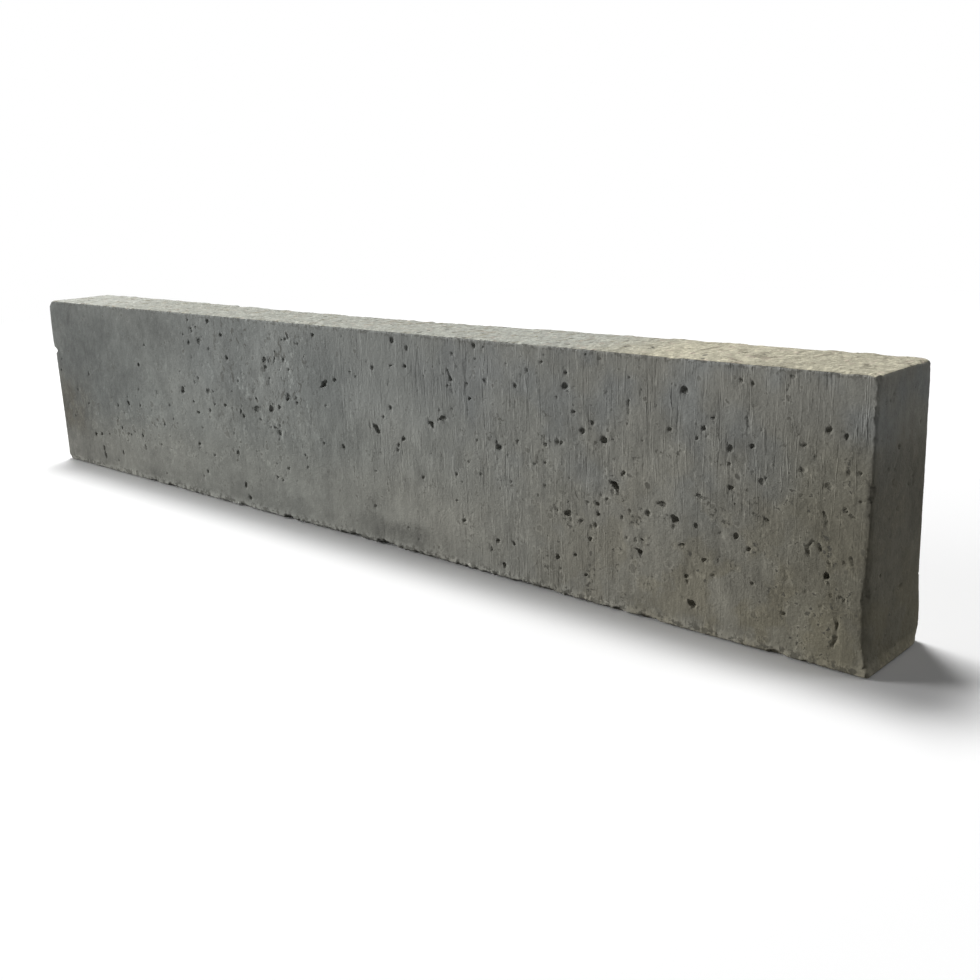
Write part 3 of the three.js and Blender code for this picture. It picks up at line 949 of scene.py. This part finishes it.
def mottles(graph, place, upright, x, face, to_left, smooth_part, mottled):
    """Clouds of brightness around 0, from broad ones down to the small marks at the left."""
    swirl = graph.math("ABSOLUTE", graph.sway(bend(graph, upright, 0.02, 0.008), 0.013, 1.5))
    swirl = graph.rise(swirl, 0.055, 0.0)
    swirl = graph.times(swirl, graph.rise(graph.cloud(place, 0.02), 0.44, 0.56))
    mottle = graph.sway(bend(graph, upright, 0.012, 0.005), 0.013, 3.0, 0.55)
    far_left = graph.sway(graph.stretch(place, 1.0, 1.0, 0.25), 0.0060)
    return graph.add(
        graph.times(graph.sway(place, 0.11, 1.0), 0.60),
        graph.times(mottle, mottled),
        graph.times(graph.sway(bend(graph, place, 0.04, 0.015), 0.040), smooth_part, 0.75),
        graph.times(graph.sway(place, 0.0070), smooth_part, 0.56),
        graph.times(swirl, graph.add(0.04, graph.times(to_left, 0.07))),
        graph.times(far_left, graph.rise(x, -0.28, -0.40), face, 0.42),
    )


def end_shade(graph, z, face):
    """The right end's changes of brightness: darker half way up, paler at its top, and paler at its
    foot as painted light.
    """
    middle = graph.zone((z, 0.060, 0.085), (z, 0.150, 0.120))
    change = graph.add(
        graph.times(middle, -0.23),
        graph.rise(z, 0.060, 0.030, 0.0, 0.16),
        graph.rise(z, 0.140, 0.165, 0.0, 0.08),
    )
    return graph.times(change, graph.rise(face, 1.0, 0.0))


def body_colour(graph, place, x, z, face, shade):
    """The faces' tone in a shade, warmer low down at the left and cooler high in the middle."""
    body = graph.shaded(body_tone(graph, place, x, z), shade)
    low_down = graph.times(graph.zone((z, 0.090, 0.045), (x, 0.26, 0.10)), face)
    body = graph.blend(low_down, body, LOW_WARMTH, "MULTIPLY")
    high_up = graph.zone((z, 0.090, 0.130), (x, -0.28, -0.18), (x, 0.26, 0.18))
    return graph.blend(high_up, body, HIGH_COOLNESS, "MULTIPLY")


def painted_hole_shade(graph, place, hollow):
    """How far the carved hollows are darkened with painted shade: a step near their edge and
    another one deeper down.
    """
    sunk = graph.add(hollow, graph.times(graph.sway(place, 0.0020), 2.0))
    painted_shade = graph.add(graph.rise(sunk, 0.3, 0.8, 0.0, 0.23), graph.rise(sunk, 1.1, 2.2, 0.0, 0.22))
    return graph.times(painted_shade, graph.rise(graph.cloud(place, 0.011, 1.0), 0.38, 0.62, 0.6, 1.4))


# The front's marks fade out between these places, where the right end begins.
END_BEGINS = (0.4905, 0.4935)
ROUGHNESS = 0.88
SPECULAR = 0.3


def make_concrete():
    """Grey cast concrete, cooler at the left end and more olive at the right."""
    material = bpy.data.materials.new("concrete")
    material.use_nodes = True
    tree = material.node_tree
    shader = tree.nodes["Principled BSDF"]
    graph = Graph(tree)
    place = graph.node("ShaderNodeTexCoord", {}).outputs["Object"]
    axes = graph.node("ShaderNodeSeparateXYZ", {0: place}).outputs
    x, z = axes[0], axes[2]
    top, edge, hollow = (graph.attribute(name) for name in ("top", "edge", "hollow"))
    face = graph.rise(x, *END_BEGINS, 1.0, 0.0)
    upright = graph.stretch(place, 1.0, 1.0, 0.5)

    to_left, smooth_part, mottled = smoothness(graph, x, z, face)
    streaks = soft_streaks(graph, place, upright, x, smooth_part)
    grain = graph.sway(place, 0.0016, 1.0, 0.7)
    grain_strength = graph.add(graph.rise(x, 0.08, 0.25, 0.22, 0.32), graph.times(to_left, 0.14))
    pale_lines_and_highlights, shaded_scores = drag_lines(graph, place, x, z, face)
    pit_shade, rim_highlights = small_pits(graph, place, pit_crowding(graph, place, x, z))
    crack_shade_and_specks, flake_rim_highlights, flakes = scuffs(graph, place, x, z, face)
    crumbs, painted_base_light = crumbs_by_arrises(graph, place, z, face)
    furrow_shade, ridge_highlights = wrinkles(graph, place, x, z, face)

    # Some terms are painted light: highlights on the pale drag lines, the pinholes' edges, the
    # cracks' edges and the creases' folds, shade in the drag lines' scores, and a paler base and
    # right-end foot for light from the floor.
    shade = graph.add(
        1.0,
        stains(graph, place, face),
        end_shade(graph, z, face),
        mottles(graph, place, upright, x, face, to_left, smooth_part, mottled),
        graph.times(grain, grain_strength),
        graph.times(ridge_highlights, 0.40),
        graph.times(streaks, 0.38),
        graph.times(pale_lines_and_highlights, 0.30),
        graph.times(shaded_scores, -0.28),
        graph.times(rim_highlights, 0.19),
        graph.times(flake_rim_highlights, 0.32),
        graph.times(flakes, 0.12),
        graph.times(edge, 0.28),
        graph.times(painted_base_light, 0.40),
    )
    body = body_colour(graph, place, x, z, face, shade)
    body = graph.blend(top, body, float_tone(graph, place, x))
    # Painted shade: the carved hollows, pinholes, cracks, creases and crumbled arrises are darkened
    # for the shade that falls inside them.
    painted_shade = graph.most(
        painted_hole_shade(graph, place, hollow),
        graph.times(pit_shade, 0.80),
        graph.times(crack_shade_and_specks, 0.85),
        graph.times(furrow_shade, 0.62),
        graph.times(crumbs, 0.55, graph.rise(top, 0.0, 1.0, 1.0, 0.0)),
    )
    tree.links.new(graph.blend(painted_shade, body, HOLLOW_SHADE), shader.inputs["Base Color"])
    shader.inputs["Roughness"].default_value = ROUGHNESS
    shader.inputs["Specular IOR Level"].default_value = SPECULAR

    crust = graph.cloud(place, 0.0035, 2.0, 0.6)
    relief = graph.add(
        graph.times(grain, 0.16),
        graph.times(streaks, 0.20),
        graph.times(pale_lines_and_highlights, 0.20),
        graph.times(shaded_scores, -0.20),
        graph.times(flakes, 0.16),
        graph.times(crust, graph.add(0.5, graph.times(top, 0.4))),
    )
    bump = graph.node("ShaderNodeBump", {"Height": relief, "Distance": MM, "Strength": 1.0})
    tree.links.new(bump.outputs[0], shader.inputs["Normal"])
    return material


# ---------------------------------------------------------------- studio

# The floor: how white it is, how much light it throws back up, its half width, how far under
# the kerb it lies, and the distances between which it fades out to white.
FLOOR_WHITE = 0.90
FLOOR_BOUNCE = 0.16
FLOOR_REACH = 4.0
FLOOR_DROP = 0.2 * MM
FLOOR_FADE = (1.3, 2.2)


def make_floor():
    """A white floor that keeps the kerb's shadow and fades out to white around it."""
    mesh = bpy.data.meshes.new("floor")
    corners = [(-1, -1), (1, -1), (1, 1), (-1, 1)]
    height = LOW[2] - FLOOR_DROP
    points = [(x * FLOOR_REACH, y * FLOOR_REACH, height) for x, y in corners]
    mesh.from_pydata(points, [], [(0, 1, 2, 3)])
    floor = new_object("floor", mesh)
    material = bpy.data.materials.new("floor")
    material.use_nodes = True
    tree = material.node_tree
    tree.nodes.clear()
    graph = Graph(tree)
    place = graph.node("ShaderNodeTexCoord", {}).outputs["Object"]
    away = graph.vector("LENGTH", place)
    seen = graph.node("ShaderNodeBsdfDiffuse", {"Color": rgb(*[FLOOR_WHITE] * 3)}).outputs[0]
    white = graph.node("ShaderNodeEmission", {"Strength": 1.0}).outputs[0]
    fade = graph.rise(away, *FLOOR_FADE)
    seen = graph.node("ShaderNodeMixShader", {0: fade, 1: seen, 2: white}).outputs[0]
    lit = graph.node("ShaderNodeBsdfDiffuse", {"Color": rgb(*[FLOOR_BOUNCE] * 3)}).outputs[0]
    both = graph.node("ShaderNodeMixShader", {0: seen_directly(graph), 1: lit, 2: seen}).outputs[0]
    graph.node("ShaderNodeOutputMaterial", {"Surface": both})
    mesh.materials.append(material)


def seen_directly(graph):
    """1 for rays from the camera, also after a mirror or glass."""
    path = graph.node("ShaderNodeLightPath", {}).outputs
    names = ("Is Camera Ray", "Is Glossy Ray", "Is Transmission Ray")
    return graph.most(*(path[name] for name in names))


def make_world(strength):
    """White behind the object, and a weaker even light on it."""
    world = bpy.data.worlds.new("studio")
    bpy.context.scene.world = world
    world.use_nodes = True
    tree = world.node_tree
    graph = Graph(tree)
    level = graph.rise(seen_directly(graph), 0.0, 1.0, strength, 1.0)
    background = tree.nodes["Background"]
    background.inputs["Color"].default_value = rgb(1.0, 1.0, 1.0)
    tree.links.new(level, background.inputs["Strength"])


def make_lamp(name, towards, distance, size, power):
    """A square soft box in a direction from the kerb's middle, facing it."""
    data = bpy.data.lights.new(name, "AREA")
    data.shape = "SQUARE"
    data.size = size
    data.energy = power
    lamp = new_object(name, data)
    way = Vector(towards).normalized()
    middle = Vector((LOW + HIGH) / 2)
    lamp.location = middle + way * distance
    lamp.rotation_euler = way.to_track_quat("Z", "Y").to_euler()


WORLD_LIGHT = 0.05
# Soft boxes, as (name, direction from the kerb's middle, distance, size, power).
LAMPS = [
    ("key", (-0.30, 0.185, 1.0), 6.0, 1.7, 360),
    ("fill", (-1.6, -0.8, 0.5), 6.0, 2.2, 185),
    ("low", (-0.85, -0.52, 0.12), 6.0, 1.5, 150),
    ("rim", (0.9, 0.55, 1.0), 6.0, 2.2, 44),
]
# The camera stands low off the right end, and is rolled slightly.
CAMERA_PLACE = Vector((0.7675, -0.6447, 0.2987))
CAMERA_AIM = Vector((0.2026, -0.0505, 0.0745))
CAMERA_ROLL = math.radians(-2.193)
LENS = 41.504


def make_camera():
    """The camera at the place from which the kerb is known."""
    data = bpy.data.cameras.new("camera")
    data.lens = LENS
    data.clip_start = 0.01
    camera = new_object("camera", data)
    turn = (CAMERA_AIM - CAMERA_PLACE).to_track_quat("-Z", "Y").to_matrix().to_4x4()
    camera.matrix_world = (
        Matrix.Translation(CAMERA_PLACE) @ turn @ Matrix.Rotation(CAMERA_ROLL, 4, "Z")
    )
    bpy.context.scene.camera = camera


make_camera()
piece = make_skin()
piece.data.materials.clear()
piece.data.materials.append(make_concrete())
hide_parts(NODE)
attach(piece, "root")
make_floor()
make_world(WORLD_LIGHT)
for lamp in LAMPS:
    make_lamp(*lamp)
bpy.context.scene.view_settings.view_transform = "Standard"
